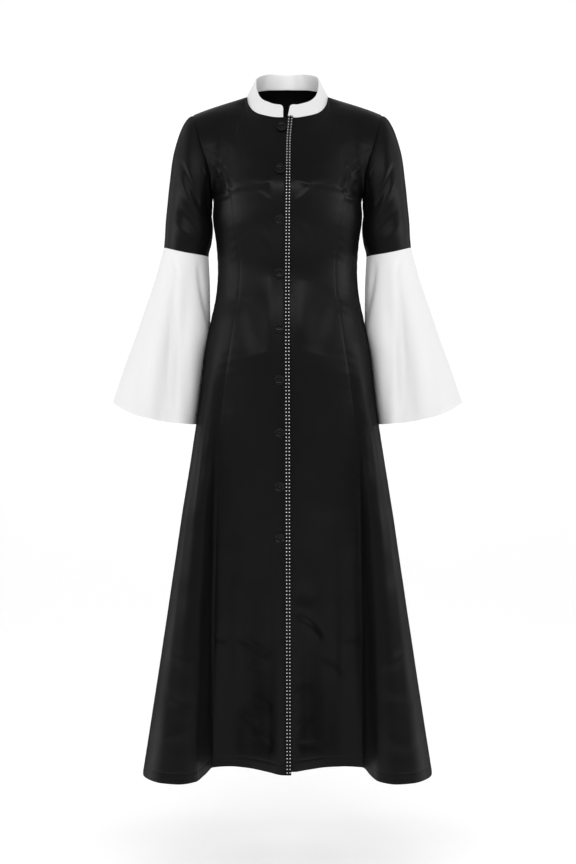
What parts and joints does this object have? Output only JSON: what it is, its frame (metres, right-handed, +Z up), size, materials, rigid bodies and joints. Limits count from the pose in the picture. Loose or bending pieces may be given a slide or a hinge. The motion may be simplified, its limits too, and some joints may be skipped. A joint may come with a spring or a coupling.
{
  "type": "pulpit robe",
  "caption": "Long fitted black satin robe with a flared skirt, white stand collar and wide white bell cuffs, buttoned down the front, filled out as if worn.",
  "frame": {"origin": "middle of the neck opening, level with the neck ends of the two shoulder seams, where the wearer's shoulders hold the robe", "axes": "+Z up; -Y out of the front, which is buttoned; +X towards the wearer's left"},
  "size_m": [0.7082, 0.318, 1.3997],
  "materials": {
    "black_satin": "black satin with a soft sheen",
    "white_crepe": "white crepe satin, mostly matt",
    "edging_tape": "narrow black tape that carries two rows of small white beads",
    "button_gloss": "glossy black four-hole button with a raised rim"
  },
  "bodies": {
    "root": {"right_front": "black_satin", "left_front": "black_satin", "right_side_front": "black_satin", "left_side_front": "black_satin", "right_side_back": "black_satin", "left_side_back": "black_satin", "centre_back": "black_satin", "right_upper_sleeve": "black_satin", "left_upper_sleeve": "black_satin", "right_cuff": "white_crepe", "left_cuff": "white_crepe", "collar": "white_crepe", "front_edge_trim": "edging_tape", "button_1": "button_gloss", "button_2": "button_gloss", "button_3": "button_gloss", "button_4": "button_gloss", "button_5": "button_gloss", "button_6": "button_gloss", "button_7": "button_gloss", "button_8": "button_gloss", "button_9": "button_gloss"}
  },
  "joints": []
}
